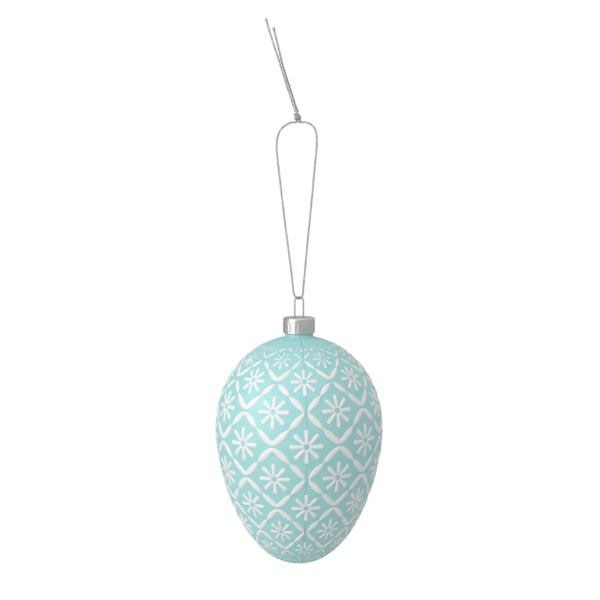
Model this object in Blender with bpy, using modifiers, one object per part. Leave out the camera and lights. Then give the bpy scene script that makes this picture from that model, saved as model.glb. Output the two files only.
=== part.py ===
"""Hanging egg ornament: a hollow glass egg, its metal cap, a spring wire hanger and a knotted cord.

Metres, +Z up. The origin is the inside top of the cord loop, the point that the ornament hangs from.
The front faces -Y, and the egg's axis is the Z axis.
"""

import math

import bmesh
import bpy
from mathutils import Vector

MM = 0.001
GAP = 0.3 * MM

# Egg: a turned glass shell, widest at EGG_LEVEL, with an open neck on top.
EGG_RADIUS = 30.0 * MM
EGG_LEVEL = -110.7 * MM
UPPER_HEIGHT = 1.16 * EGG_RADIUS
LOWER_HEIGHT = 1.613 * EGG_RADIUS
UPPER_POWERS = (2.233, 0.526)
LOWER_POWERS = (1.6, 0.468)
GLASS = 1.0 * MM
NECK_GLASS = 0.9 * MM
SHOULDER_RADIUS = 7.2 * MM
NECK_SHOWING = 0.7 * MM
EGG_STEPS = 56

# Cap: a thin metal cup over the neck.
CAP_RADIUS = 5.7 * MM
CAP_TOP = -69.5 * MM
CAP_HEIGHT = 5.6 * MM
CAP_SHEET = 0.3 * MM
CAP_EDGE = 0.7 * MM
CAP_STEPS = 48

# Hanger: a hairpin of spring wire whose legs drop through the cap into the neck.
WIRE = 0.6 * MM
BOW_RADIUS = 1.55 * MM
BOW_TOP = -62.2 * MM
LEG_END = -86.0 * MM
LEG_SPLAY_FROM = CAP_TOP - 1.2 * MM

# Cord: one length of twisted metallic cord, knotted above the loop.
CORD = 0.75 * MM
CORD_STEP = 2.9 * CORD
KNOT_RADIUS = 1.25 * MM
KNOT_CENTRE = Vector((-0.5, 0.0, 2.25)) * MM
KNOT_HEIGHT = 3.5 * MM

# Worked out from the sizes above.
NECK_RADIUS = CAP_RADIUS - CAP_SHEET - GAP
BORE_RADIUS = NECK_RADIUS - NECK_GLASS
NECK_TOP = CAP_TOP - CAP_SHEET - GAP
CAP_BOTTOM = CAP_TOP - CAP_HEIGHT
BOW_CENTRE = BOW_TOP - BOW_RADIUS
LEG_SPREAD = BORE_RADIUS - GAP - WIRE / 2
WIRE_HOLE = WIRE / 2 + GAP

# The loop's route in millimetres, from the knot down the left side, under the bow and up the right side.
LOOP_ROUTE = [
    (-0.95, 0.0, -0.2), (-1.9, 0.0, -0.15), (-2.9, 0.0, -0.3), (-4.05, 0.0, -0.8),
    (-5.75, 0.0, -1.95), (-7.0, 0.0, -3.6), (-7.75, 0.0, -6.3), (-7.95, 0.0, -9.3),
    (-7.7, 0.0, -12.4), (-7.05, 0.0, -18.0), (-6.4, 0.0, -23.8), (-5.7, 0.0, -29.6),
    (-5.05, 0.0, -35.3), (-4.3, 0.0, -41.1), (-3.55, -0.1, -46.9), (-2.8, -0.35, -52.7),
    (-2.15, -0.9, -58.5), (-1.85, -1.3, -60.9), (-1.45, -1.5, -61.8), (-0.95, -1.3, -62.5),
    (-0.5, -0.75, -63.0), (0.0, 0.0, -63.2), (0.5, 0.75, -63.0), (0.9, 1.3, -62.5),
    (1.25, 1.5, -61.8), (1.45, 1.3, -60.9), (1.6, 0.9, -58.5), (2.15, 0.35, -52.7),
    (2.65, 0.1, -46.9), (3.2, 0.0, -41.1), (3.8, 0.0, -35.3), (4.35, 0.0, -29.6),
    (4.9, 0.0, -23.8), (5.4, 0.0, -18.0), (5.95, 0.0, -12.4), (6.25, 0.0, -9.3),
    (6.35, 0.0, -6.3), (6.05, 0.0, -3.6), (5.2, 0.0, -1.8), (3.9, 0.0, -0.7),
    (2.4, 0.0, -0.15), (1.2, 0.0, -0.15), (0.15, 0.0, -0.2),
]
LONG_TAIL_ROUTE = [
    (-1.65, -0.4, 4.75), (-2.15, -0.35, 6.3), (-3.05, -0.35, 8.9), (-4.35, -0.35, 12.9),
    (-5.8, -0.35, 17.4), (-7.15, -0.35, 21.8), (-8.6, -0.3, 26.1), (-9.95, -0.2, 30.3),
    (-10.8, -0.1, 33.0), (-11.6, 0.0, 36.0),
]
SHORT_TAIL_ROUTE = [
    (-0.85, 0.4, 4.75), (-1.35, 0.35, 6.3), (-2.2, 0.35, 8.9), (-3.5, 0.35, 12.9),
    (-4.95, 0.35, 17.4), (-6.2, 0.35, 21.8), (-7.25, 0.3, 26.1), (-8.3, 0.25, 30.3), (-8.95, 0.15, 32.9),
]
LOOP_SPLIT = -48.0 * MM

TURQUOISE = (0.36, 0.62, 0.61, 1.0)
SILVER = (0.62, 0.61, 0.59, 1.0)
STEEL = (0.55, 0.55, 0.54, 1.0)
CORD_GREY = (0.5, 0.5, 0.49, 1.0)


def clear_scene():
    for old in list(bpy.data.objects):
        bpy.data.objects.remove(old)


def new_collection(name):
    collection = bpy.data.collections.new(name)
    bpy.context.scene.collection.children.link(collection)
    return collection


def material(name, colour, roughness, metallic):
    made = bpy.data.materials.new(name)
    made.use_nodes = True
    shader = made.node_tree.nodes["Principled BSDF"]
    shader.inputs["Base Color"].default_value = colour
    shader.inputs["Roughness"].default_value = roughness
    shader.inputs["Metallic"].default_value = metallic
    return made


def add_object(name, data, collection, finish, location=(0.0, 0.0, 0.0)):
    made = bpy.data.objects.new(name, data)
    made.location = location
    collection.objects.link(made)
    if finish is not None:
        data.materials.append(finish)
    return made


def turned(name, profile, steps, collection, finish):
    """A solid turned about Z from a profile of (radius, z) points that runs down its outer side."""
    shape = bmesh.new()
    points = [shape.verts.new((radius, 0.0, z)) for radius, z in profile]
    for first, second in zip(points, points[1:]):
        shape.edges.new((first, second))
    mesh = bpy.data.meshes.new(name)
    shape.to_mesh(mesh)
    shape.free()
    made = add_object(name, mesh, collection, finish)
    screw = made.modifiers.new("turn", "SCREW")
    screw.axis = "Z"
    screw.angle = math.tau
    screw.steps = steps
    screw.render_steps = steps
    screw.use_merge_vertices = True
    screw.merge_threshold = 0.01 * MM
    screw.use_smooth_shade = True
    return made


def tube(name, points, diameter, collection, finish, origin=Vector()):
    """A round wire or cord along the points, whose object origin is set to origin."""
    curve = bpy.data.curves.new(name, "CURVE")
    curve.dimensions = "3D"
    curve.bevel_depth = diameter / 2
    curve.bevel_resolution = 2
    curve.use_fill_caps = True
    line = curve.splines.new("POLY")
    line.points.add(len(points) - 1)
    for place, point in zip(line.points, points):
        place.co = (*(point - origin), 1.0)
    return add_object(name, curve, collection, finish, origin)


def bend(start, corner, end, count):
    """Points of the curve that leaves start towards corner and reaches end from corner."""
    points = []
    for i in range(count + 1):
        t = i / count
        a, b, c = (1 - t) ** 2, 2 * t * (1 - t), t * t
        points.append(tuple(a * s + b * k + c * e for s, k, e in zip(start, corner, end)))
    return points


def smooth_route(route, samples=24):
    """A smooth curve through the route's points, as many short steps with their lengths so far."""
    knots = [Vector(point) * MM for point in route]
    knots = [2 * knots[0] - knots[1]] + knots + [2 * knots[-1] - knots[-2]]
    line = []
    for before, start, end, after in zip(knots, knots[1:], knots[2:], knots[3:]):
        for i in range(samples):
            t = i / samples
            line.append(
                0.5 * (2 * start + (end - before) * t)
                + 0.5 * (2 * before - 5 * start + 4 * end - after) * t**2
                + 0.5 * (3 * start - before - 3 * end + after) * t**3
            )
    line.append(knots[-2])
    lengths = [0.0]
    for first, second in zip(line, line[1:]):
        lengths.append(lengths[-1] + (second - first).length)
    return line, lengths


def stretch(line, lengths, start, end, step):
    """Evenly spaced points along the line, from one length along it to another."""
    count = max(2, round((end - start) / step))
    points = []
    at = 0
    for i in range(count + 1):
        target = start + (end - start) * i / count
        while at < len(lengths) - 2 and lengths[at + 1] < target:
            at += 1
        share = (target - lengths[at]) / (lengths[at + 1] - lengths[at])
        points.append(line[at].lerp(line[at + 1], share))
    return points


def egg_radius(height):
    """The egg's outer radius at a height above its widest level."""
    span = UPPER_HEIGHT if height > 0 else LOWER_HEIGHT
    power, root = UPPER_POWERS if height > 0 else LOWER_POWERS
    return EGG_RADIUS * max(0.0, 1 - (abs(height) / span) ** power) ** root


def egg_wall(count_up=11, count_down=18):
    """The egg's outer side from the shoulder down to the pole, as (radius, z) points."""
    power, root = UPPER_POWERS
    top = UPPER_HEIGHT * (1 - (SHOULDER_RADIUS / EGG_RADIUS) ** (1 / root)) ** (1 / power)
    sweep = math.asin(top / UPPER_HEIGHT)
    heights = [UPPER_HEIGHT * math.sin(sweep * (1 - i / count_up)) for i in range(count_up)]
    heights += [-LOWER_HEIGHT * math.sin(math.pi / 2 * i / count_down) for i in range(count_down)]
    wall = [(egg_radius(height), EGG_LEVEL + height) for height in heights]
    return wall + [(0.0, EGG_LEVEL - LOWER_HEIGHT)]


def inside_of(wall):
    """The wall's inner side, one glass thickness in from it, from the pole up."""
    inner = []
    for before, point, after in zip(wall, wall[1:], wall[2:]):
        along = Vector(after) - Vector(before)
        inward = Vector((along.y, -along.x)).normalized()
        inner.append(tuple(Vector(point) + GLASS * inward))
    pole = (0.0, wall[-1][1] + GLASS)
    return [pole] + inner[::-1]


def build_egg(collection):
    wall = egg_wall()
    inner = [point for point in inside_of(wall) if point[0] > BORE_RADIUS + 1.5 * MM or point[1] < EGG_LEVEL]
    throat = (BORE_RADIUS, inner[-1][1] + 1.4 * MM)
    bore = bend(inner[-1], (BORE_RADIUS, inner[-1][1] + 0.3 * MM), throat, 4)[1:]
    lip_centre = (BORE_RADIUS + NECK_RADIUS) / 2
    lip_radius = NECK_GLASS / 2
    lip = []
    for i in range(5):
        angle = math.pi * (1 - i / 4)
        lip.append((lip_centre + lip_radius * math.cos(angle), NECK_TOP + lip_radius * (math.sin(angle) - 1)))
    root = (NECK_RADIUS, CAP_BOTTOM - NECK_SHOWING)
    fillet = bend(root, (NECK_RADIUS, wall[0][1] + 0.05 * MM), wall[0], 4)[:-1]
    profile = inner + bore + lip + fillet + wall
    finish = material("turquoise_glass", TURQUOISE, 0.55, 0.0)
    turned("egg_shell", profile, EGG_STEPS, collection, finish)


def build_cap(collection, cutters):
    edge = [
        (
            CAP_RADIUS - CAP_EDGE + CAP_EDGE * math.sin(math.pi / 2 * i / 4),
            CAP_TOP - CAP_EDGE + CAP_EDGE * math.cos(math.pi / 2 * i / 4),
        )
        for i in range(5)
    ]
    inner_edge = CAP_EDGE - CAP_SHEET
    inner = [
        (
            CAP_RADIUS - CAP_EDGE + inner_edge * math.cos(math.pi / 2 * i / 3),
            CAP_TOP - CAP_EDGE + inner_edge * math.sin(math.pi / 2 * i / 3),
        )
        for i in range(4)
    ]
    lip = [(CAP_RADIUS, CAP_BOTTOM), (CAP_RADIUS - CAP_SHEET, CAP_BOTTOM)]
    profile = [(0.0, CAP_TOP)] + edge + lip + inner + [(0.0, CAP_TOP - CAP_SHEET)]
    cap = turned("cap", profile, CAP_STEPS, collection, material("silver_sheet", SILVER, 0.25, 1.0))
    for side in (-1, 1):
        hole = bmesh.new()
        bmesh.ops.create_cone(
            hole, cap_ends=True, segments=20, radius1=WIRE_HOLE, radius2=WIRE_HOLE, depth=4 * CAP_SHEET
        )
        mesh = bpy.data.meshes.new("wire_hole")
        hole.to_mesh(mesh)
        hole.free()
        place = (side * BOW_RADIUS, 0.0, CAP_TOP - CAP_SHEET / 2)
        cutter = add_object("wire_hole_" + ("left" if side < 0 else "right"), mesh, cutters, None, place)
        cutter.hide_render = True
        cutter.display_type = "WIRE"
        cut = cap.modifiers.new("hole", "BOOLEAN")
        cut.operation = "DIFFERENCE"
        cut.solver = "EXACT"
        cut.object = cutter


def leg_offset(z):
    """How far a wire leg is from the axis at height z: straight in the cap, splayed in the neck."""
    t = min(1.0, max(0.0, (LEG_SPLAY_FROM - z) / (LEG_SPLAY_FROM - LEG_END)))
    return BOW_RADIUS + (LEG_SPREAD - BOW_RADIUS) * math.sin(math.pi / 2 * t) ** 1.6


def build_hanger(collection):
    leg_heights = [BOW_CENTRE + (LEG_SPLAY_FROM - BOW_CENTRE) * i / 3 for i in range(1, 4)]
    leg_heights += [LEG_SPLAY_FROM + (LEG_END - LEG_SPLAY_FROM) * i / 8 for i in range(1, 9)]
    right = [Vector((leg_offset(z), 0.0, z)) for z in leg_heights]
    bow = [
        Vector((BOW_RADIUS * math.sin(angle), 0.0, BOW_CENTRE + BOW_RADIUS * math.cos(angle)))
        for angle in (math.pi * (i / 10 - 0.5) for i in range(11))
    ]
    left = [Vector((-point.x, 0.0, point.z)) for point in reversed(right)]
    finish = material("spring_wire", STEEL, 0.3, 1.0)
    swing_axis = Vector((0.0, 0.0, BOW_CENTRE))
    tube("hanger_wire", left + bow + right, WIRE, collection, finish, swing_axis)


def build_knot(collection, finish):
    """The knot as a small barrel that the four strands of cord go into."""
    profile = []
    for i in range(9):
        angle = math.pi * i / 8
        squared = math.copysign(abs(math.cos(angle)) ** 0.8, math.cos(angle))
        profile.append((KNOT_RADIUS * math.sin(angle) ** 0.7, KNOT_HEIGHT / 2 * squared))
    profile[0] = (0.0, KNOT_HEIGHT / 2)
    profile[-1] = (0.0, -KNOT_HEIGHT / 2)
    knot = turned("cord_knot", profile, 16, collection, finish)
    knot.location = KNOT_CENTRE


def build_cord(collection):
    finish = material("metallic_cord", CORD_GREY, 0.45, 0.6)
    line, lengths = smooth_route(LOOP_ROUTE)
    split_down = next(length for point, length in zip(line, lengths) if point.z < LOOP_SPLIT)
    split_up = next(length for point, length in zip(line[::-1], lengths[::-1]) if point.z < LOOP_SPLIT)
    half = GAP / 2
    pieces = {
        "cord_leg_left": (0.0, split_down - half),
        "cord_saddle": (split_down + half, split_up - half),
        "cord_leg_right": (split_up + half, lengths[-1]),
    }
    steps = {"cord_saddle": 2.0 * CORD}
    for name, (start, end) in pieces.items():
        points = stretch(line, lengths, start, end, steps.get(name, CORD_STEP))
        tube(name, points, CORD, collection, finish)
    for name, route in (("cord_tail_long", LONG_TAIL_ROUTE), ("cord_tail_short", SHORT_TAIL_ROUTE)):
        line, lengths = smooth_route(route)
        tube(name, stretch(line, lengths, 0.0, lengths[-1], CORD_STEP), CORD, collection, finish)
    build_knot(collection, finish)


def main():
    clear_scene()
    ornament = new_collection("egg_ornament")
    cutters = new_collection("cutters")
    build_egg(ornament)
    build_cap(ornament, cutters)
    build_hanger(ornament)
    build_cord(ornament)


main()
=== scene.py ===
"""The looks of a hanging glass egg: relief pattern and paint, cap, wire hanger and twisted cord.

Metres, +Z up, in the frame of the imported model. The origin is the inside top of the cord loop.
"""

import math

import bpy
import numpy as np
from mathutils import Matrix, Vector


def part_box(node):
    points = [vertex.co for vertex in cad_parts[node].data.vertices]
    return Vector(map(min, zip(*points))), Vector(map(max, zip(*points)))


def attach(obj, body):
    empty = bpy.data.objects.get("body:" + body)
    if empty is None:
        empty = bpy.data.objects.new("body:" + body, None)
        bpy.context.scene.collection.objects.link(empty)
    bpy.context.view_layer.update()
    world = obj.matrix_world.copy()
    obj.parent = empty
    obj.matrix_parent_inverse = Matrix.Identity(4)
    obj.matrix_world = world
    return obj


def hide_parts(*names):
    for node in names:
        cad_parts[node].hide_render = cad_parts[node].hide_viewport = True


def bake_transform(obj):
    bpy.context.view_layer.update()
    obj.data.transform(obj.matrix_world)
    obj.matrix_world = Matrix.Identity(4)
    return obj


MM = 0.001

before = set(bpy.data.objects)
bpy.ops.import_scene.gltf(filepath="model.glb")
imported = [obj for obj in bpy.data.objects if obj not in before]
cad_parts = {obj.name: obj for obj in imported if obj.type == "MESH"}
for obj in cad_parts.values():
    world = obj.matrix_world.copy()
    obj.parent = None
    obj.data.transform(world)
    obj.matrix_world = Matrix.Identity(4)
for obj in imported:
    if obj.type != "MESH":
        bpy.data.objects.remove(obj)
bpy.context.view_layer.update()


# ---------------------------------------------------------------- camera and room

VIEW_DISTANCE = 434 * MM
VIEW_UP = math.radians(4.8)
VIEW_WIDTH = 215.2 * MM
AIM = Vector((0.36, 0.0, -63.35)) * MM


def make_camera():
    camera = bpy.data.objects.new("camera", bpy.data.cameras.new("camera"))
    bpy.context.scene.collection.objects.link(camera)
    offset = Vector((0.0, -math.cos(VIEW_UP), math.sin(VIEW_UP))) * VIEW_DISTANCE
    camera.location = AIM + offset
    camera.rotation_euler = (-offset).to_track_quat("-Z", "Y").to_euler()
    camera.data.sensor_width = 36.0
    camera.data.angle = 2 * math.atan(VIEW_WIDTH / 2 / VIEW_DISTANCE)
    camera.data.clip_start = 0.01
    bpy.context.scene.camera = camera


make_camera()


# ---------------------------------------------------------------- cord

CORD = 0.75 * MM
PLIES = 3
# Three equal circles side by side in a larger one each have 0.464 of its radius.
PLY_RADIUS = 0.464 * CORD / 2
PLY_OFFSET = CORD / 2 - PLY_RADIUS
PLY_SIDES = 8
TWIST_PITCH = 2.3 * MM
RING_STEP = 0.16 * MM
# How much further out the plies stand at a frayed end.
SPLAY = 0.28 * CORD
# Points worked out between one point of a route and the next.
SPAN_SAMPLES = 40

# The routes were chosen and are in millimetres.
LOOP_ROUTE = [
    (-0.95, 0.0, -0.2), (-1.9, 0.0, -0.15), (-2.9, 0.0, -0.3), (-4.05, 0.0, -0.8),
    (-5.75, 0.0, -1.95), (-7.0, 0.0, -3.6), (-7.75, 0.0, -6.3), (-7.95, 0.0, -9.3),
    (-7.7, 0.0, -12.4), (-7.05, 0.0, -18.0), (-6.4, 0.0, -23.8), (-5.7, 0.0, -29.6),
    (-5.05, 0.0, -35.3), (-4.3, 0.0, -41.1), (-3.55, -0.1, -46.9), (-2.8, -0.35, -52.7),
    (-2.15, -0.9, -58.5), (-1.85, -1.3, -60.9), (-1.45, -1.5, -61.8), (-0.95, -1.3, -62.5),
    (-0.5, -0.75, -63.0), (0.0, 0.0, -63.2), (0.5, 0.75, -63.0), (0.9, 1.3, -62.5),
    (1.25, 1.5, -61.8), (1.45, 1.3, -60.9), (1.6, 0.9, -58.5), (2.15, 0.35, -52.7),
    (2.65, 0.1, -46.9), (3.2, 0.0, -41.1), (3.8, 0.0, -35.3), (4.35, 0.0, -29.6),
    (4.9, 0.0, -23.8), (5.4, 0.0, -18.0), (5.95, 0.0, -12.4), (6.25, 0.0, -9.3),
    (6.35, 0.0, -6.3), (6.05, 0.0, -3.6), (5.2, 0.0, -1.8), (3.9, 0.0, -0.7),
    (2.4, 0.0, -0.15), (1.2, 0.0, -0.15), (0.15, 0.0, -0.2),
]
LONG_TAIL_ROUTE = [
    (-1.65, -0.4, 4.75), (-2.15, -0.35, 6.3), (-3.05, -0.35, 8.9), (-4.35, -0.35, 12.9),
    (-5.8, -0.35, 17.4), (-7.15, -0.35, 21.8), (-8.6, -0.3, 26.1), (-9.95, -0.2, 30.3),
    (-10.8, -0.1, 33.0), (-11.6, 0.0, 36.0),
]
SHORT_TAIL_ROUTE = [
    (-0.85, 0.4, 4.75), (-1.35, 0.35, 6.3), (-2.2, 0.35, 8.9), (-3.5, 0.35, 12.9),
    (-4.95, 0.35, 17.4), (-6.2, 0.35, 21.8), (-7.25, 0.3, 26.1), (-8.3, 0.25, 30.3), (-8.95, 0.15, 32.9),
]


def lengths_along(line):
    """How far along the line each of its points is."""
    return np.concatenate([[0], np.cumsum(np.linalg.norm(np.diff(line, axis=0), axis=1))])


def smooth_line(route, step):
    """Evenly spaced points of a smooth curve through the route's points, which are in millimetres."""
    knots = np.array(route, float) * MM
    knots = np.vstack([2 * knots[0] - knots[1], knots, 2 * knots[-1] - knots[-2]])
    t = np.linspace(0, 1, SPAN_SAMPLES, endpoint=False)[:, None]
    pieces = []
    for a, b, c, d in zip(knots, knots[1:], knots[2:], knots[3:]):
        pieces.append(
            0.5 * (2 * b + (c - a) * t + (2 * a - 5 * b + 4 * c - d) * t**2 + (3 * b - a - 3 * c + d) * t**3)
        )
    line = np.vstack(pieces + [knots[-2:-1]])
    along = lengths_along(line)
    places = np.linspace(0, along[-1], max(3, int(round(along[-1] / step)) + 1))
    return np.stack([np.interp(places, along, line[:, k]) for k in range(3)], axis=1), places


def frames_along(line):
    """Two unit vectors across the line at each point, which turn as little as they can along it."""
    tangent = np.gradient(line, axis=0)
    tangent /= np.linalg.norm(tangent, axis=1)[:, None]
    across = np.zeros_like(line)
    start = np.cross(tangent[0], (0.0, 1.0, 0.0))
    if np.linalg.norm(start) < 0.2:
        start = np.cross(tangent[0], (1.0, 0.0, 0.0))
    across[0] = start / np.linalg.norm(start)
    for i in range(1, len(line)):
        side = across[i - 1] - tangent[i] * (across[i - 1] @ tangent[i])
        across[i] = side / np.linalg.norm(side)
    return across, np.cross(tangent, across)


def sweep(line, places, radius, sides, first_vertex):
    """Vertices, faces and (along, around) values of a capped round tube; radius may vary along it."""
    across, up = frames_along(line)
    radius = np.broadcast_to(radius, len(line))
    turn = np.linspace(0, math.tau, sides, endpoint=False)
    ring = np.cos(turn)[None, :, None] * across[:, None] + np.sin(turn)[None, :, None] * up[:, None]
    points = (line[:, None] + radius[:, None, None] * ring).reshape(-1, 3)
    faces = []
    for i in range(len(line) - 1):
        for k in range(sides):
            a, b = i * sides + k, i * sides + (k + 1) % sides
            faces.append([first_vertex + v for v in (a, b, b + sides, a + sides)])
    faces.append([first_vertex + k for k in reversed(range(sides))])
    last = first_vertex + (len(line) - 1) * sides
    faces.append([last + k for k in range(sides)])
    along = np.repeat(places, sides)
    around = np.tile(turn / math.tau, len(line))
    return points, faces, along, around


def mesh_object(name, points, faces, values, finish):
    """A smooth-shaded mesh object whose named point values are stored as float attributes."""
    mesh = bpy.data.meshes.new(name)
    mesh.from_pydata([tuple(p) for p in points], [], faces)
    for key, value in values.items():
        mesh.attributes.new(key, "FLOAT", "POINT").data.foreach_set("value", np.asarray(value, np.float32))
    mesh.shade_smooth()
    mesh.materials.append(finish)
    made = bpy.data.objects.new(name, mesh)
    bpy.context.scene.collection.objects.link(made)
    return made


def ply_lines(line, places, splay_from, phase):
    """The centre lines of the plies twisted round a cord's line; they open out past splay_from."""
    across, up = frames_along(line)
    offset = np.full(len(line), PLY_OFFSET)
    if splay_from is not None:
        open_out = np.clip((places - splay_from) / (places[-1] - splay_from), 0, 1)
        offset = offset + SPLAY * open_out**2
    found = []
    for ply in range(PLIES):
        angle = math.tau * (places / TWIST_PITCH + ply / PLIES) + phase
        found.append(line + offset[:, None] * (np.cos(angle)[:, None] * across + np.sin(angle)[:, None] * up))
    return found


def twisted_cord(name, strands, finish, splay_from=None):
    """One mesh of twisted cord along every strand; a strand is (line, places, phase of its twist)."""
    points, faces, along, around = [], [], [], []
    count = 0
    for line, places, phase in strands:
        for ply in ply_lines(line, places, splay_from, phase):
            tube, tube_faces, tube_along, tube_around = sweep(ply, places, PLY_RADIUS, PLY_SIDES, count)
            points.append(tube)
            faces += tube_faces
            along.append(tube_along)
            around.append(tube_around)
            count += len(tube)
    values = {"along": np.concatenate(along), "around": np.concatenate(around)}
    return mesh_object(name, np.vstack(points), faces, values, finish)


# ---------------------------------------------------------------- materials


def new_material(name, roughness=0.5, metallic=0.0):
    made = bpy.data.materials.new(name)
    made.use_nodes = True
    shader = made.node_tree.nodes["Principled BSDF"]
    shader.inputs["Roughness"].default_value = roughness
    shader.inputs["Metallic"].default_value = metallic
    return made, shader


def node(material, kind, inputs=None, **settings):
    """Adds a shader node; inputs maps a socket's name or number to a value or to another socket."""
    made = material.node_tree.nodes.new(kind)
    for key, value in settings.items():
        setattr(made, key, value)
    for key, value in (inputs or {}).items():
        if isinstance(value, bpy.types.NodeSocket):
            material.node_tree.links.new(value, made.inputs[key])
        else:
            made.inputs[key].default_value = value
    return made


def link(material, source, target):
    material.node_tree.links.new(source, target)


def math_node(material, operation, *values):
    return node(material, "ShaderNodeMath", dict(enumerate(values)), operation=operation).outputs[0]


def smooth_step(material, value, start, end):
    """0 up to start, 1 from end on, and eased between them."""
    inputs = {"Value": value, "From Min": start, "From Max": end}
    return node(material, "ShaderNodeMapRange", inputs, interpolation_type="SMOOTHSTEP").outputs["Result"]


def value_of(material, name):
    return node(material, "ShaderNodeAttribute", attribute_name=name).outputs["Fac"]


def coordinates(material):
    return node(material, "ShaderNodeTexCoord").outputs["Object"]


def noise_of(material, scale, detail=3.0, roughness=0.5, vector=None):
    """Noise from 0 to 1; on the object's own coordinates its scale is per metre."""
    vector = coordinates(material) if vector is None else vector
    settings = {"Vector": vector, "Scale": scale, "Detail": detail, "Roughness": roughness}
    return node(material, "ShaderNodeTexNoise", settings).outputs["Fac"]


def ramp(material, factor, stops):
    made = node(material, "ShaderNodeValToRGB", {"Fac": factor})
    points = made.color_ramp.elements
    while len(points) < len(stops):
        points.new(0.5)
    for point, (place, colour) in zip(points, stops):
        point.position = place
        point.color = (*colour, 1.0)
    return made.outputs["Color"]


def between(material, factor, low, high):
    """A value that goes from low to high as the factor goes from 0 to 1."""
    inputs = {"Value": factor, "To Min": low, "To Max": high}
    return node(material, "ShaderNodeMapRange", inputs).outputs["Result"]


def colour_input(value):
    return value if isinstance(value, bpy.types.NodeSocket) else (*value, 1.0)


def mixed(material, factor, first, second, blend="MIX"):
    inputs = {0: factor, 6: colour_input(first), 7: colour_input(second)}
    return node(material, "ShaderNodeMix", inputs, data_type="RGBA", blend_type=blend).outputs[2]


def bump(material, shader, height, distance, strength=1.0):
    made = node(material, "ShaderNodeBump", {"Height": height, "Distance": distance, "Strength": strength})
    link(material, made.outputs["Normal"], shader.inputs["Normal"])


TURQUOISE = (0.355, 0.655, 0.655)
TURQUOISE_DEEP = (0.315, 0.62, 0.622)
SEAM_TONE = (0.25, 0.53, 0.53)
OFF_WHITE = (0.77, 0.765, 0.755)
OFF_WHITE_THIN = (0.68, 0.735, 0.73)

# In millimetres: how far the edge of the white wanders where it took best and worst, how far it draws back
# where it took worst, and over what stretch it and the crease at the mould seam fade out.
EDGE_WANDER = (0.18, 1.15)
WORN_BACK = 0.18
PAINT_FADE = (-0.04, 0.07)
CREASE_FADE = (0.1, 0.32)


def painted_egg_material():
    """Matte turquoise paint with off-white paint on the raised strokes.

    The point value stroke is how many mm inside a stroke a point is. wear, from 0 to 1, is how badly the
    white took there, and seam is the distance in mm from the plane of the mould seams.
    """
    made, shader = new_material("painted_glass")
    wear = value_of(made, "wear")
    wander = between(made, noise_of(made, 900.0, 4.0), -0.5, 0.5)
    wobble = math_node(made, "MULTIPLY", wander, between(made, wear, *EDGE_WANDER))
    thinned = math_node(made, "ADD", wobble, between(made, wear, 0.0, -WORN_BACK))
    edge = math_node(made, "ADD", value_of(made, "stroke"), thinned)
    paint = smooth_step(made, edge, *PAINT_FADE)
    tone = mixed(made, noise_of(made, 140.0, 5.0, 0.6), TURQUOISE_DEEP, TURQUOISE)
    crease = smooth_step(made, math_node(made, "ABSOLUTE", value_of(made, "seam")), *CREASE_FADE)
    speckle = ramp(made, noise_of(made, 2600.0, 2.0), [(0.35, (0.93, 0.93, 0.93)), (0.6, (1.0, 1.0, 1.0))])
    ground = mixed(made, 1.0, mixed(made, crease, SEAM_TONE, tone), speckle, "MULTIPLY")
    worn = ramp(made, noise_of(made, 1500.0, 5.0, 0.65), [(0.3, (0.0, 0.0, 0.0)), (0.62, (1.0, 1.0, 1.0))])
    white = mixed(made, worn, OFF_WHITE_THIN, OFF_WHITE)
    link(made, mixed(made, paint, ground, white), shader.inputs["Base Color"])
    link(made, between(made, paint, 0.46, 0.55), shader.inputs["Roughness"])
    shader.inputs["Specular IOR Level"].default_value = 0.8
    grain = noise_of(made, 3200.0, 3.0, 0.6)
    bump(made, shader, grain, 0.03 * MM, 0.6)
    return made


def inner_glass_material():
    """The bare inner side of the glass, with the paint showing through it."""
    made, shader = new_material("inner_glass", roughness=0.12)
    tone = mixed(made, noise_of(made, 90.0, 3.0), (0.22, 0.42, 0.41), (0.3, 0.52, 0.51))
    link(made, tone, shader.inputs["Base Color"])
    shader.inputs["Coat Weight"].default_value = 0.6
    return made


def sheet_metal_material():
    """Bright silver sheet with fine vertical drawing lines and faint smudges."""
    made, shader = new_material("bright_sheet", metallic=1.0)
    smudge = noise_of(made, 420.0, 4.0, 0.6)
    link(made, mixed(made, smudge, (0.54, 0.535, 0.51), (0.68, 0.675, 0.65)), shader.inputs["Base Color"])
    upright = {"Vector": coordinates(made), "Scale": (1.0, 1.0, 0.06)}
    lines = node(made, "ShaderNodeMapping", upright).outputs[0]
    drawn = noise_of(made, 5200.0, 2.0, 0.5, lines)
    link(made, between(made, smudge, 0.32, 0.46), shader.inputs["Roughness"])
    bump(made, shader, drawn, 0.01 * MM, 0.5)
    return made


def wire_material():
    """Bright drawn spring wire with faint lengthwise lines."""
    made, shader = new_material("drawn_wire", metallic=1.0)
    around_and_along = {"X": value_of(made, "around"), "Y": value_of(made, "along")}
    place = node(made, "ShaderNodeCombineXYZ", around_and_along).outputs[0]
    stretched = node(made, "ShaderNodeMapping", {"Vector": place, "Scale": (30.0, 300.0, 1.0)}).outputs[0]
    drawn = noise_of(made, 1.0, 3.0, 0.6, stretched)
    link(made, mixed(made, drawn, (0.42, 0.42, 0.41), (0.6, 0.6, 0.58)), shader.inputs["Base Color"])
    link(made, between(made, drawn, 0.22, 0.4), shader.inputs["Roughness"])
    bump(made, shader, drawn, 0.01 * MM, 0.5)
    return made


# The filaments wind round a ply: how many there are round it, and how many it passes in a metre along it.
FILAMENTS_ROUND_A_PLY = 9.0
FILAMENTS_PER_METRE = 2600.0


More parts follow.
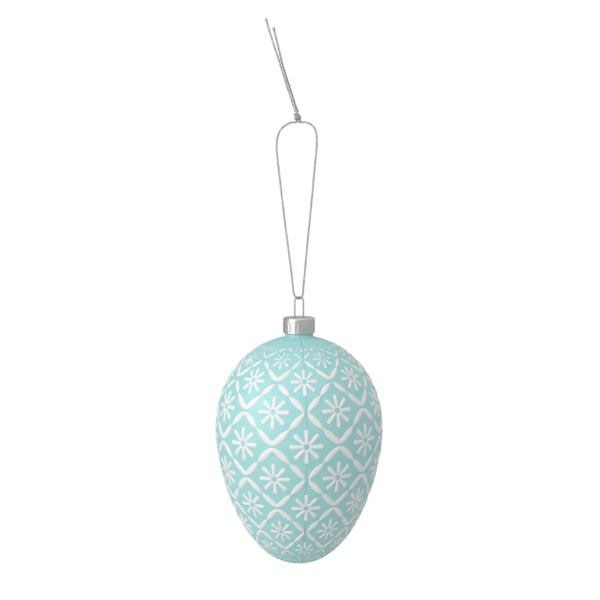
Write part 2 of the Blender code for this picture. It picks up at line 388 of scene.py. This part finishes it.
def cord_material():
    """Silver metallic thread: fine filaments along each ply, with glints and duller cotton between them."""
    made, shader = new_material("metallic_thread", metallic=0.7)
    round_ply = math_node(made, "MULTIPLY", value_of(made, "around"), FILAMENTS_ROUND_A_PLY)
    up_ply = math_node(made, "MULTIPLY", value_of(made, "along"), FILAMENTS_PER_METRE)
    filament = math_node(made, "ADD", round_ply, up_ply)
    ridge = math_node(made, "SINE", math_node(made, "MULTIPLY", filament, math.tau))
    glint = noise_of(made, 2400.0, 2.0, 0.7)
    tones = [(0.35, (0.3, 0.3, 0.29)), (0.5, (0.55, 0.55, 0.54)), (0.68, (0.85, 0.85, 0.83))]
    link(made, ramp(made, glint, tones), shader.inputs["Base Color"])
    link(made, between(made, glint, 0.55, 0.22), shader.inputs["Roughness"])
    bump(made, shader, ridge, 0.02 * MM, 0.8)
    return made


# ---------------------------------------------------------------- egg

EGG_LOW, EGG_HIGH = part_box("egg_shell")
CAP_LOW, CAP_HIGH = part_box("cap")
EGG_RADIUS = (EGG_HIGH.x - EGG_LOW.x) / 2
UPPER_HEIGHT = 1.16 * EGG_RADIUS
LOWER_HEIGHT = 1.613 * EGG_RADIUS
UPPER_POWERS = (2.233, 0.526)
LOWER_POWERS = (1.6, 0.468)
EGG_LEVEL = EGG_LOW.z + LOWER_HEIGHT
NECK_TOP = EGG_HIGH.z
NECK_RADIUS = 5.1 * MM
NECK_GLASS = 0.9 * MM
GLASS = 1.0 * MM
SHOULDER_RADIUS = 7.2 * MM
NECK_SHOWING = 0.7 * MM
FILLET_CORNER = 0.06 * MM
THROAT_WIDTH, THROAT_HEIGHT, THROAT_CORNER = 1.5 * MM, 1.4 * MM, 0.3 * MM
TUBE_BELOW_LIP = 0.4 * MM
POLE_RADIUS = 0.1 * MM
# How far up and down from the widest level the inner side runs, in radians; a quarter turn is a pole.
INNER_UP, INNER_DOWN = 1.28, 1.55

# The pattern is a square lattice rolled round the egg: PITCHES half-diamonds round it, and as high as wide,
# but for ROW_STRETCH, which opens out the rows far from the middle. Tops and bottoms are in rows.
PITCHES = 16
PITCH = math.tau / PITCHES
SEAM_TURN = math.radians(5.2)
ROW_SHIFT = math.radians(-0.1)
PATTERN_LEAN = math.radians(0.7)
PATTERN_TOP = 3.85
PATTERN_BOTTOM = -5.75
ROW_STRETCH = 0.006
# The rows at which row_at knows the stretch.
ROWS = np.linspace(-6, 6, 2401)
ARCHES_BROKEN_ABOVE = 1.5
LEVEL_SAMPLES = 40001
SHORT_OF_POLE = 0.9995

# Points round the neck and the patterned side, how many of them share one round the pole and inside, and how
# many rows of the lattice the fine mesh reaches past the pattern at its top and bottom.
COLUMNS = 640
COARSE = 4
FINE_PAST_TOP, FINE_PAST_BOTTOM = 0.1, 0.03

# Strokes of the lattice, in pitches: where a bent stroke passes a crossing, and half its width along it.
SEAM_GAP, BOWL_GAP = 0.062, 0.066
SEAM_APEX, BOWL_APEX, ARCH_APEX, BROKEN_APEX = 0.018, 0.055, 0.042, -0.01
ARM_BELLY, ARM_TIP = 0.43, 0.7
ARM_WIDEST, ARM_WAIST = 0.091, 0.016

# How high the strokes stand, what share of that is lost where the paint took worst, over what depth they
# rise, and how far outside its edge a stroke begins to. The ground lies a share of the height below the
# plain egg.
RELIEF = 0.3 * MM
RELIEF_LOST = 0.4
RELIEF_SLOPE = 0.5 * MM
RELIEF_SKIRT = 0.1 * MM
GROUND_SUNK = 0.2

# The depth of a point where there is no pattern.
PLAIN = -1.0 * MM

# The rows past which the paint is worn, and over how many rows that comes on.
WORN_ABOVE, WORN_BELOW, WORN_OVER = 2.4, -3.7, 0.8


def eased(value):
    value = np.clip(value, 0, 1)
    return value * value * (3 - 2 * value)


def egg_radius(height):
    """Radius of the smooth egg at a height above its widest level."""
    span = np.where(height > 0, UPPER_HEIGHT, LOWER_HEIGHT)
    power = np.where(height > 0, UPPER_POWERS[0], LOWER_POWERS[0])
    root = np.where(height > 0, UPPER_POWERS[1], LOWER_POWERS[1])
    return EGG_RADIUS * np.clip(1 - (np.abs(height) / span) ** power, 0, 1) ** root


def lattice_levels():
    """Heights down the egg, and the lattice's vertical angle at each: arc length over radius, summed up.

    They stop just short of the two poles, where the angle would grow without end.
    """
    elevation = np.linspace(1, -1, LEVEL_SAMPLES) * math.pi / 2 * SHORT_OF_POLE
    heights = np.where(elevation > 0, UPPER_HEIGHT, LOWER_HEIGHT) * np.sin(elevation)
    radii = egg_radius(heights)
    arcs = np.hypot(np.diff(heights), np.diff(radii)) / (0.5 * (radii[1:] + radii[:-1]))
    angles = np.concatenate([[0], -np.cumsum(arcs)])
    return heights, angles - np.interp(0, heights[::-1], angles[::-1])


LEVELS, LEVEL_ANGLES = lattice_levels()


def height_at(angle):
    return np.interp(-angle, -LEVEL_ANGLES, LEVELS)


def angle_at(height):
    return np.interp(-height, -LEVELS, LEVEL_ANGLES)


def stretched_row(row):
    return row + ROW_STRETCH * row**3


def row_angle(row):
    return ROW_SHIFT + PITCH * stretched_row(row)


def row_at(angle):
    return np.interp((angle - ROW_SHIFT) / PITCH, stretched_row(ROWS), ROWS)


def wear_at(angle):
    """How badly the white took, from 0 over the middle rows to 1 towards the shoulder and the pole."""
    row = row_at(angle)
    return eased((row - WORN_ABOVE) / WORN_OVER) + eased((WORN_BELOW - row) / WORN_OVER)


def petal_depth(x, y):
    """How far inside the eight petals of a flower a point is, in pitches; the flower's centre is at 0, 0."""
    inner, inner_radius = 0.125, 0.047
    outer, outer_radius = 0.432, 0.068
    angle = np.arctan2(y, x)
    fold = np.abs((angle + math.pi / 8) % (math.pi / 4) - math.pi / 8)
    distance = np.hypot(x, y)
    along, off = distance * np.cos(fold) - inner, distance * np.sin(fold)
    length, slope = outer - inner, (inner_radius - outer_radius) / (outer - inner)
    rise = math.sqrt(1 - slope * slope)
    forward = along * rise - off * slope
    side = off * rise + along * slope
    result = inner_radius - side
    result = np.where(forward < 0, inner_radius - np.hypot(along, off), result)
    return np.where(forward > length * rise, outer_radius - np.hypot(along - length, off), result)


def chevron_depth(x, y, gap, apex):
    """How far inside the two bent strokes of a crossing a point is; they open towards +y and -y.

    A stroke's middle line is a hyperbola that passes gap from the crossing and runs out along the diagonals.
    It is apex wide, to each side, nearest the crossing, widest partway along each arm and narrow at its tips.
    """
    distance = np.hypot(x, y)
    off = np.abs(y * y - x * x - gap * gap) / (2 * np.maximum(distance, 1e-6))
    along = np.clip((distance - gap) / (ARM_TIP - gap), 0, 1)
    belly = (ARM_BELLY - gap) / (ARM_TIP - gap)
    near = ARM_WIDEST - (ARM_WIDEST - apex) * ((belly - along) / belly) ** 2
    far = ARM_WIDEST - (ARM_WIDEST - ARM_WAIST) * ((along - belly) / (1 - belly)) ** 2
    return np.where(along < belly, near, far) - off


def pattern_depth(turn, angle, radius):
    """How many metres inside a raised stroke each point of the egg is; negative between the strokes."""
    a = (turn - SEAM_TURN) / PITCH
    b = row_at(angle)
    p, q = (a + b) / 2, (a - b) / 2
    cell_p, cell_q = np.round(p), np.round(q)
    flower = petal_depth(a - (cell_p + cell_q), b - (cell_p - cell_q))
    cell_p, cell_q = np.floor(p) + 0.5, np.floor(q) + 0.5
    column, row = cell_p + cell_q, cell_p - cell_q
    x, y = a - column, b - row
    on_seam = np.mod(column, PITCHES // 2) == 0
    arch_apex = np.where(row >= ARCHES_BROKEN_ABOVE, BROKEN_APEX, ARCH_APEX)
    bowl_or_arch = chevron_depth(x, y, BOWL_GAP, np.where(y > 0, BOWL_APEX, arch_apex))
    strokes = np.where(on_seam, chevron_depth(y, x, SEAM_GAP, SEAM_APEX), bowl_or_arch)
    depth = np.maximum(flower, strokes)
    depth = np.minimum(depth, np.minimum(PATTERN_TOP - b, b - PATTERN_BOTTOM))
    return depth * PITCH * radius


def leaned(turn, radius, height):
    """Turn and lattice angle of points on the egg as the slightly leaning pattern has them."""
    x, y = radius * np.sin(turn), -radius * np.cos(turn)
    lean_x = x * math.cos(PATTERN_LEAN) + height * math.sin(PATTERN_LEAN)
    lean_height = height * math.cos(PATTERN_LEAN) - x * math.sin(PATTERN_LEAN)
    return np.arctan2(lean_x, -y), angle_at(lean_height)


def ring_rows(start, end, step):
    return np.linspace(start, end, max(2, int(round(abs(end - start) / step)) + 1))


def outer_profile():
    """Radii, levels and lattice angles down the outer side, from the shoulder to just below the pattern."""
    step = math.tau / COLUMNS
    share = 1 - (SHOULDER_RADIUS / EGG_RADIUS) ** (1 / UPPER_POWERS[1])
    shoulder = float(angle_at(UPPER_HEIGHT * share ** (1 / UPPER_POWERS[0])))
    top = row_angle(PATTERN_TOP + FINE_PAST_TOP)
    bottom = row_angle(PATTERN_BOTTOM - FINE_PAST_BOTTOM)
    angles = np.concatenate([ring_rows(shoulder, top, 3 * step)[:-1], ring_rows(top, bottom, step)])
    heights = height_at(angles)
    return egg_radius(heights), EGG_LEVEL + heights, angles


def surface_normals(radii, levels):
    """Outward directions (radial, up) across a profile that runs downwards."""
    dr, dz = np.gradient(radii), np.gradient(levels)
    length = np.hypot(dr, dz)
    return -dz / length, dr / length


def quad_rings(first, second, count):
    """Faces between two rings of count points, the first above the second, given by their first points."""
    return [
        [first + k, second + k, second + (k + 1) % count, first + (k + 1) % count]
        for k in range(count)
    ]


def wall(starts, count):
    """Faces between each ring and the next one below it."""
    pairs = zip(starts, starts[1:])
    return [face for first, second in pairs for face in quad_rings(first, second, count)]


def fan(ring, pole, count):
    """Faces from a ring to a single point below it."""
    return [[ring + k, pole, ring + (k + 1) % count] for k in range(count)]


def step_down(first, second, count):
    """Faces from a ring of count points to a ring of count / COARSE points below it."""
    faces = []
    fewer = count // COARSE
    for k in range(fewer):
        here, there = second + k, second + (k + 1) % fewer
        middle = COARSE // 2
        for i in range(COARSE):
            a, b = first + (k * COARSE + i) % count, first + (k * COARSE + i + 1) % count
            if i == middle:
                faces.append([a, here, there])
            faces.append([a, here if i < middle else there, b])
    return faces


def bezier(start, corner, end, count):
    t = np.linspace(0, 1, count + 1)[:, None]
    return (1 - t) ** 2 * np.array(start) + 2 * t * (1 - t) * np.array(corner) + t**2 * np.array(end)


def neck_profile(shoulder_radius, shoulder_level):
    """(radius, z) over the lip from the bore outwards, down the neck and out along the fillet under it."""
    half = NECK_GLASS / 2
    lip = [
        (NECK_RADIUS - half + half * math.cos(turn), NECK_TOP + half * (math.sin(turn) - 1))
        for turn in np.linspace(math.pi, 0, 9)
    ]
    root = (NECK_RADIUS, CAP_LOW.z - NECK_SHOWING)
    neck = [(NECK_RADIUS, level) for level in np.linspace(lip[-1][1], root[1], 9)[1:-1]]
    corner = (NECK_RADIUS, shoulder_level + FILLET_CORNER)
    fillet = bezier(root, corner, (shoulder_radius, shoulder_level), 8)[:-1]
    return lip + neck + [tuple(p) for p in fillet]


def pole_profile(level):
    """(radius, z) of the plain outer side below the patterned one, which ends at this level."""
    elevation = np.linspace(math.asin((EGG_LEVEL - level) / LOWER_HEIGHT), math.pi / 2, 26)[1:-1]
    heights = -LOWER_HEIGHT * np.sin(elevation)
    return [(float(egg_radius(height)), EGG_LEVEL + height) for height in heights]


def inner_profile(lip_level):
    """(radius, z) down the bore, out through the throat and down the inner side of the glass."""
    bore = NECK_RADIUS - NECK_GLASS
    upper = UPPER_HEIGHT * np.sin(np.linspace(INNER_UP, 0, 24))
    lower = -LOWER_HEIGHT * np.sin(np.linspace(0, INNER_DOWN, 40)[1:])
    heights = np.concatenate([upper, lower])
    radii, levels = egg_radius(heights), EGG_LEVEL + heights
    out_r, out_z = surface_normals(radii, levels)
    radii, levels = radii - GLASS * out_r, levels - GLASS * out_z
    keep = (radii > bore + THROAT_WIDTH) | (heights < 0)
    radii, levels = radii[keep], levels[keep]
    start = (bore, levels[0] + THROAT_HEIGHT)
    throat = bezier(start, (bore, levels[0] + THROAT_CORNER), (radii[0], levels[0]), 6)[:-1]
    tube = [(bore, level) for level in np.linspace(lip_level - TUBE_BELOW_LIP, throat[0][1], 6)[:-1]]
    side = [(max(radius, POLE_RADIUS), level) for radius, level in zip(radii, levels)]
    return tube + [tuple(p) for p in throat] + side


class Rings:
    """Points gathered ring by ring, with how deep inside a stroke each one is."""

    def __init__(self):
        self.points = []
        self.depths = []
        self.count = 0

    def add(self, radius, level, directions, depth=PLAIN):
        """Adds a ring and returns the number of its first point."""
        first = self.count
        flat = directions * np.reshape(radius, (-1, 1))
        self.points.append(np.column_stack([flat, np.broadcast_to(level, len(flat))]))
        self.depths.append(np.broadcast_to(depth, len(flat)))
        self.count += len(flat)
        return first


def build_egg():
    """One closed glass shell: lip, neck, patterned outer side and pole, then the inner side."""
    radii, levels, angles = outer_profile()
    out_r, out_z = surface_normals(radii, levels)
    turns = np.linspace(0, math.tau, COLUMNS, endpoint=False)
    fine = np.stack([np.sin(turns), -np.cos(turns)], axis=1)
    coarse = fine[::COARSE]
    centre = np.zeros((1, 2))
    rings = Rings()

    neck = neck_profile(radii[0], levels[0])
    outer = [rings.add(radius, level, fine) for radius, level in neck]
    for i in range(len(radii)):
        depth = pattern_depth(*leaned(turns, radii[i], levels[i] - EGG_LEVEL), radii[i])
        relief = RELIEF * (1 - RELIEF_LOST * wear_at(angles[i]))
        lift = relief * (eased((depth + RELIEF_SKIRT) / RELIEF_SLOPE) - GROUND_SUNK)
        outer.append(rings.add(radii[i] + lift * out_r[i], levels[i] + lift * out_z[i], fine, depth))
    below = [rings.add(radius, level, coarse) for radius, level in pole_profile(levels[-1])]
    faces = wall(outer, COLUMNS) + step_down(outer[-1], below[0], COLUMNS) + wall(below, len(coarse))
    faces += fan(below[-1], rings.add(0.0, EGG_LOW.z, centre), len(coarse))
    outer_faces = len(faces)

    inner = [rings.add(radius, level, coarse) for radius, level in inner_profile(neck[0][1])]
    flipped = step_down(outer[0], inner[0], COLUMNS) + wall(inner, len(coarse))
    flipped += fan(inner[-1], rings.add(0.0, EGG_LOW.z + GLASS, centre), len(coarse))
    faces += [face[::-1] for face in flipped]

    points = np.vstack(rings.points)
    values = {
        "stroke": np.concatenate(rings.depths) / MM,
        "wear": wear_at(angle_at(points[:, 2] - EGG_LEVEL)),
        "seam": (points[:, 0] * math.cos(SEAM_TURN) + points[:, 1] * math.sin(SEAM_TURN)) / MM,
    }
    egg = mesh_object("painted_egg", points, faces, values, painted_egg_material())
    egg.data.materials.append(inner_glass_material())
    slots = np.zeros(len(faces), np.int32)
    slots[outer_faces:] = 1
    egg.data.polygons.foreach_set("material_index", slots)
    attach(egg, "egg")
    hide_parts("egg_shell")


# ---------------------------------------------------------------- cap

CAP_RADIUS = (CAP_HIGH.x - CAP_LOW.x) / 2
CAP_SHEET = 0.28 * MM
CAP_EDGE = 0.7 * MM
CAP_DISH = 0.06 * MM
# The first and last ring on the flat of the top, in millimetres from the middle.
CAP_FLAT_FROM, CAP_FLAT_TO = 0.3, 4.6
RIM_RISE = 0.35 * MM
RIM_BULGE = 0.03 * MM
CAP_COLUMNS = 288
FLUTES = 24
FLUTE_DEPTH = 0.045 * MM
# Where the flutes begin on the way out, down from the top and up from the rim, and how soon they are full.
FLUTES_OUT, FLUTES_DOWN, FLUTES_UP = 4.9 * MM, 1.3 * MM, 0.3 * MM
FADE_OUT, FADE_DOWN, FADE_UP = 0.3 * MM, 0.9 * MM, 0.5 * MM
WIRE = 0.6 * MM
BOW_RADIUS = 1.55 * MM
WIRE_HOLE = 0.57 * MM


def cap_profile():
    """(radius, z) from the middle of the top out and down, round the rolled rim and back up the inside."""
    top, bottom = CAP_HIGH.z, CAP_LOW.z
    edge_turn = np.linspace(0, math.pi / 2, 9)
    edge_radius, edge_level = CAP_RADIUS - CAP_EDGE, top - CAP_EDGE
    flat_radii = np.linspace(CAP_FLAT_FROM, CAP_FLAT_TO, 14) * MM
    flat = [(radius, top - CAP_DISH * (1 - (radius / CAP_RADIUS) ** 2)) for radius in flat_radii]
    edge = [(edge_radius + CAP_EDGE * math.sin(t), edge_level + CAP_EDGE * math.cos(t)) for t in edge_turn]
    skirt = [(CAP_RADIUS, level) for level in np.linspace(edge_level, bottom + RIM_RISE, 22)[1:]]
    rim_middle, rim_radius = CAP_RADIUS - CAP_SHEET / 2, CAP_SHEET / 2 + RIM_BULGE
    rim = [
        (rim_middle + rim_radius * math.cos(t), bottom + rim_radius - rim_radius * math.sin(t))
        for t in np.linspace(0, math.pi, 9)
    ]
    inside = [(radius - CAP_SHEET, level) for radius, level in reversed(skirt)]
    inner_edge = CAP_EDGE - CAP_SHEET
    inside += [
        (edge_radius + inner_edge * math.sin(t), edge_level + inner_edge * math.cos(t))
        for t in reversed(edge_turn)
    ]
    under = [(radius, level - CAP_SHEET) for radius, level in reversed(flat)]
    return flat + edge + skirt + rim + inside + under


def flute_share(radius, level):
    """The share of the flutes' depth there is at a place: none on the top, at its edge or at the rim."""
    outward = eased((radius - FLUTES_OUT) / FADE_OUT)
    below_edge = eased((CAP_HIGH.z - FLUTES_DOWN - level) / FADE_DOWN)
    above_rim = eased((level - CAP_LOW.z - FLUTES_UP) / FADE_UP)
    return outward * below_edge * above_rim


def pierce(cap):
    """Cuts the two holes that the wire bow comes out of."""
    cutters = []
    for side in (-1, 1):
        place = (side * BOW_RADIUS, 0.0, CAP_HIGH.z - CAP_SHEET / 2)
        bpy.ops.mesh.primitive_cylinder_add(vertices=40, radius=WIRE_HOLE, depth=2 * MM, location=place)
        cutter = bpy.context.object
        cut = cap.modifiers.new("wire_hole", "BOOLEAN")
        cut.operation = "DIFFERENCE"
        cut.solver = "EXACT"
        cut.object = cutter
        cutters.append(cutter)
    cut_mesh = bpy.data.meshes.new_from_object(cap.evaluated_get(bpy.context.evaluated_depsgraph_get()))
    cap.modifiers.clear()
    cap.data = cut_mesh
    for cutter in cutters:
        bpy.data.objects.remove(cutter)


def build_cap():
    """A pressed cup with a very slightly dished top, a rounded edge and a lightly fluted skirt."""
    profile = cap_profile()
    turns = np.linspace(0, math.tau, CAP_COLUMNS, endpoint=False)
    ring = np.stack([np.sin(turns), -np.cos(turns)], axis=1)
    flute = np.cos(FLUTES * turns)
    points = [[(0.0, 0.0, profile[0][1])]]
    for radius, level in profile:
        radii = radius + FLUTE_DEPTH * flute_share(radius, level) * flute
        points.append(np.column_stack([ring * radii[:, None], np.full(CAP_COLUMNS, level)]))
    points.append([(0.0, 0.0, profile[-1][1])])
    starts = [1 + i * CAP_COLUMNS for i in range(len(profile))]
    last_point = 1 + len(profile) * CAP_COLUMNS
    faces = [[0, 1 + k, 1 + (k + 1) % CAP_COLUMNS] for k in range(CAP_COLUMNS)]
    faces += wall(starts, CAP_COLUMNS) + fan(starts[-1], last_point, CAP_COLUMNS)
    cap = mesh_object("pressed_cap", np.vstack(points), faces, {}, sheet_metal_material())
    pierce(cap)
    cap.data.set_sharp_from_angle(angle=math.radians(40))
    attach(cap, "cap")
    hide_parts("cap")


# ---------------------------------------------------------------- wire hanger

WIRE_LOW, WIRE_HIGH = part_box("hanger_wire")
BOW_TOP = WIRE_HIGH.z - WIRE / 2
BOW_CENTRE = BOW_TOP - BOW_RADIUS
LEG_END = WIRE_LOW.z
LEG_SPLAY_FROM = CAP_HIGH.z - 1.2 * MM
LEG_SPREAD = WIRE_HIGH.x - WIRE / 2
LEG_CURVE = 1.6
WIRE_SIDES = 20
WIRE_END = 0.12 * MM


def leg_offset(z):
    """How far from the middle a sprung leg is at this level."""
    t = np.clip((LEG_SPLAY_FROM - z) / (LEG_SPLAY_FROM - LEG_END), 0, 1)
    return BOW_RADIUS + (LEG_SPREAD - BOW_RADIUS) * np.sin(math.pi / 2 * t) ** LEG_CURVE


def build_wire():
    """One bent wire: up the left leg, round the bow and down the right leg."""
    levels = np.linspace(BOW_CENTRE, LEG_END, 60)[1:]
    offsets = leg_offset(levels)
    turn = np.linspace(-math.pi / 2, math.pi / 2, 33)
    bow = np.column_stack([BOW_RADIUS * np.sin(turn), 0 * turn, BOW_CENTRE + BOW_RADIUS * np.cos(turn)])
    right = np.column_stack([offsets, 0 * levels, levels])
    left = right[::-1] * (-1, 1, 1)
    line = np.vstack([left, bow, right])
    places = lengths_along(line)
    ends = np.minimum(places, places[-1] - places)
    radius = WIRE / 2 * np.sqrt(np.clip(ends / WIRE_END, 0.25, 1))
    points, faces, along, around = sweep(line, places, radius, WIRE_SIDES, 0)
    wire = mesh_object("spring_hanger", points, faces, {"along": along, "around": around}, wire_material())
    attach(wire, "hanger")
    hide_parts("hanger_wire")


# ---------------------------------------------------------------- cord pieces

KNOT_LOW, KNOT_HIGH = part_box("cord_knot")
KNOT_CENTRE = (KNOT_LOW + KNOT_HIGH) / 2
KNOT_STEP = 0.12 * MM

# The knot's two middle strands, in millimetres from its middle: outwards, to the right, back (forwards on
# the left strand) and up.
KNOT_CORE = [
    (0.42, 0.0, 0.06, -1.75),
    (0.3, 0.0, 0.2, -0.9),
    (-0.05, 0.0, 0.36, 0.3),
    (0.32, -0.25, 0.4, 1.5),
]
WRAP_TURNS = 2.2
WRAP_POINTS = 49
WRAP_START = -0.15 * math.pi
WRAP_RADIUS = 0.88 * MM
WRAP_END_RADIUS = 0.3 * MM
WRAP_END_SHARE = 0.12
WRAP_HEIGHT = 2.1 * MM
WRAP_DROP = 0.6 * MM
WRAP_APART = 0.47 * CORD
WRAP_LEAN = 0.12

# The loop is lifted a little where the wire bow hangs on it.
SADDLE_LIFT = 0.27 * MM
SADDLE_REACH = 1.6 * MM
FRAY = 1.6 * MM
# Where a tail starts inside the knot, in millimetres from the first point of its route.
TAIL_TUCK = (0.45, 0.0, -1.1)


def knot_strands():
    """Middle lines of the knot's strands: two that run up through it and two wound round them."""
    x, y, z = KNOT_CENTRE
    strands = []
    ends = ((-1, LOOP_ROUTE[0], LONG_TAIL_ROUTE[0]), (1, LOOP_ROUTE[-1], SHORT_TAIL_ROUTE[0]))
    for side, loop_end, tail_start in ends:
        core = [
            (x + (side * out + right) * MM, side * back * MM, z + up * MM)
            for out, right, back, up in KNOT_CORE
        ]
        strands.append(np.vstack([np.array(loop_end) * MM, core, np.array(tail_start) * MM]))
    turns = np.linspace(0, 1, WRAP_POINTS)
    for side in (-1, 1):
        angle = WRAP_START + WRAP_TURNS * math.tau * turns
        full = eased((0.5 - np.abs(turns - 0.5)) / WRAP_END_SHARE)
        radius = WRAP_END_RADIUS + (WRAP_RADIUS - WRAP_END_RADIUS) * full
        height = (turns - 0.5) * WRAP_HEIGHT + side * WRAP_APART
        across = x - WRAP_LEAN * height + radius * np.sin(angle)
        strands.append(np.column_stack([across, y - radius * np.cos(angle), z - WRAP_DROP + height]))
    return strands


def build_knot(finish):
    """An overhand knot in the doubled cord, pulled tight."""
    strands = [
        (*smooth_line(strand / MM, KNOT_STEP), phase)
        for phase, strand in enumerate(knot_strands())
    ]
    knot = twisted_cord("overhand_knot", strands, finish)
    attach(knot, "cord")
    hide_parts("cord_knot")
    return knot


def build_cords():
    finish = cord_material()
    knot = build_knot(finish)
    line, places = smooth_line(LOOP_ROUTE, RING_STEP)
    crossing = min(line.tolist(), key=lambda p: p[2])
    near = np.exp(-(((line - crossing) ** 2).sum(axis=1)) / SADDLE_REACH**2)
    line = line + SADDLE_LIFT * near[:, None] * np.array([0.0, 0.0, 1.0])
    loop = twisted_cord("cord_loop", [(line, places, 0.0)], finish)
    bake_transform(loop)
    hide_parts("cord_leg_left", "cord_leg_right", "cord_saddle")
    tails = (
        ("tail_long", "cord_tail_long", LONG_TAIL_ROUTE, 0.035, 0.4),
        ("tail_short", "cord_tail_short", SHORT_TAIL_ROUTE, 0.0315, 2.0),
    )
    for name, cad_node, route, length, phase in tails:
        inner_end = tuple(np.array(route[0]) + TAIL_TUCK)
        line, places = smooth_line([inner_end] + route, RING_STEP)
        tail = twisted_cord(name, [(line, places, phase)], finish, splay_from=places[-1] - FRAY)
        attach(tail, "cord")
        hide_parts(cad_node)


build_cords()
build_wire()
build_cap()
build_egg()


# ---------------------------------------------------------------- light and floor

FLOOR_LEVEL = -0.24
FLOOR_RADIUS = 4.0
LIGHT_AIM = Vector((0.0, 0.0, -0.1))


def make_world():
    """Soft white light all round, stronger from the right and above; the camera sees plain white."""
    world = bpy.data.worlds.new("studio")
    world.use_nodes = True
    bpy.context.scene.world = world
    world.node_tree.nodes.clear()
    place = node(world, "ShaderNodeTexCoord").outputs["Generated"]
    direction = node(world, "ShaderNodeSeparateXYZ", {0: place}).outputs
    span = {"Value": direction["X"], "From Min": -0.9, "From Max": 0.9, "To Min": 0.47, "To Max": 0.74}
    sideways = node(world, "ShaderNodeMapRange", span, interpolation_type="SMOOTHSTEP").outputs[0]
    span = {"Value": direction["Z"], "From Min": -1.0, "From Max": 1.0, "To Min": 1.15, "To Max": 1.25}
    upward = node(world, "ShaderNodeMapRange", span).outputs[0]
    soft = node(world, "ShaderNodeBackground", {"Strength": math_node(world, "MULTIPLY", sideways, upward)})
    white = node(world, "ShaderNodeBackground", {"Color": (1.0, 1.0, 1.0, 1.0)})
    ray = node(world, "ShaderNodeLightPath").outputs["Is Camera Ray"]
    choose = node(world, "ShaderNodeMixShader", {0: ray, 1: soft.outputs[0], 2: white.outputs[0]})
    node(world, "ShaderNodeOutputWorld", {"Surface": choose.outputs[0]})


def area_light(name, place, size, power):
    light = bpy.data.objects.new(name, bpy.data.lights.new(name, "AREA"))
    light.data.size = size
    light.data.energy = power
    light.location = place
    light.rotation_euler = (LIGHT_AIM - Vector(place)).to_track_quat("-Z", "Y").to_euler()
    bpy.context.scene.collection.objects.link(light)


def make_floor():
    """A pale floor below the hanging object, which the camera sees as plain white."""
    place = (0.0, 0.0, FLOOR_LEVEL)
    bpy.ops.mesh.primitive_circle_add(vertices=96, radius=FLOOR_RADIUS, fill_type="NGON", location=place)
    floor = bpy.context.object
    floor.name = "floor"
    made, shader = new_material("pale_floor", roughness=0.9)
    shader.inputs["Base Color"].default_value = (0.7, 0.7, 0.7, 1.0)
    white = node(made, "ShaderNodeEmission")
    ray = node(made, "ShaderNodeLightPath").outputs["Is Camera Ray"]
    choose = node(made, "ShaderNodeMixShader", {0: ray, 1: shader.outputs[0], 2: white.outputs[0]})
    link(made, choose.outputs[0], made.node_tree.nodes["Material Output"].inputs["Surface"])
    floor.data.materials.append(made)


make_world()
make_floor()
area_light("key", place=(-0.6, -0.45, 0.15), size=0.6, power=3.8)
area_light("overhead", place=(0.05, -0.3, 0.45), size=0.5, power=0.9)
bpy.context.scene.view_settings.view_transform = "Standard"
